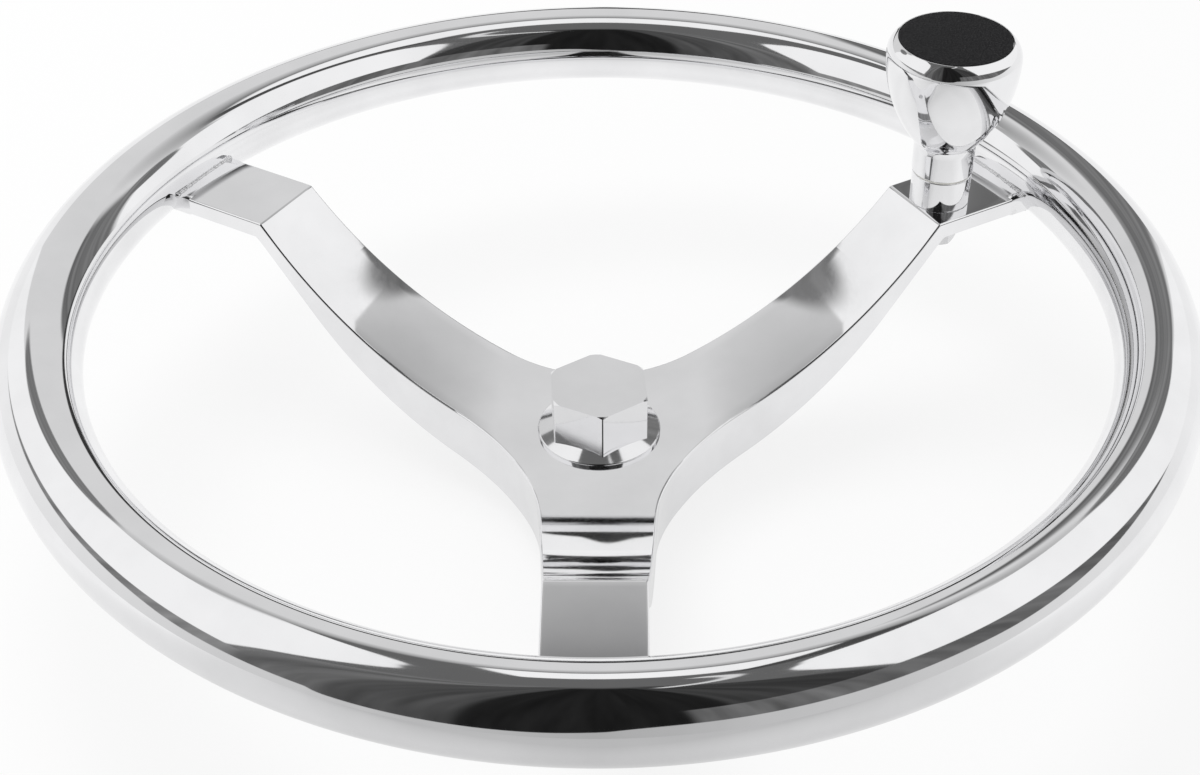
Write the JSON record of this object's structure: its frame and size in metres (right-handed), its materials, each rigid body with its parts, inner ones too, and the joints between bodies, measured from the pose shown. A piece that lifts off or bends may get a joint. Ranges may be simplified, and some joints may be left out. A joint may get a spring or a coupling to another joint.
{
  "type": "boat steering wheel",
  "caption": "Dished steering wheel with a round tube rim, cast arms bent down to a tapered hub, a flanged centre nut and a turning knob on one arm.",
  "frame": {"origin": "on the shaft axis at the hub's lower face, the mouth of the tapered bore", "axes": "+Z along the shaft towards the driver, -Y towards the arm without a neighbour in front of the viewer, the knob on the arm at 30 degrees from +X towards +Y"},
  "size_m": [0.394, 0.394, 0.1487],
  "materials": {
    "polished_tube": "mirror polished stainless tube",
    "polished_casting": "mirror polished stainless casting",
    "polished_nut": "polished stainless, slightly softer than the rim",
    "polished_knob": "mirror polished turned stainless",
    "turned_steel": "polished turned stainless",
    "weld_metal": "dressed weld bead",
    "bolt_steel": "bright stainless fasteners",
    "spring_steel": "plain spring steel",
    "slide_plastic": "natural white bearing plastic",
    "black_insert": "fine matt black",
    "seal_rubber": "black rubber ring"
  },
  "bodies": {
    "wheel": {"rim_tube": "polished_tube", "spider": "polished_casting", "spoke_welds": "weld_metal", "centre_nut": "polished_nut", "base_collar": "turned_steel", "thrust_washer": "slide_plastic", "disc_spring": "spring_steel", "shoulder_bolt": "bolt_steel", "tab_washer": "bolt_steel", "lock_washer": "spring_steel", "knob_nut": "bolt_steel"},
    "knob": {"knob_body": "polished_knob", "lower_bush": "slide_plastic", "upper_bush": "slide_plastic", "knob_cap": "black_insert", "cap_ring": "seal_rubber"}
  },
  "joints": [
    {"name": "knob_spin", "type": "hinge", "parent": "wheel", "child": "knob", "pos_m": [0.12223, 0.07057, 0.084], "axis": [0, 0, 1], "continuous": true}
  ]
}
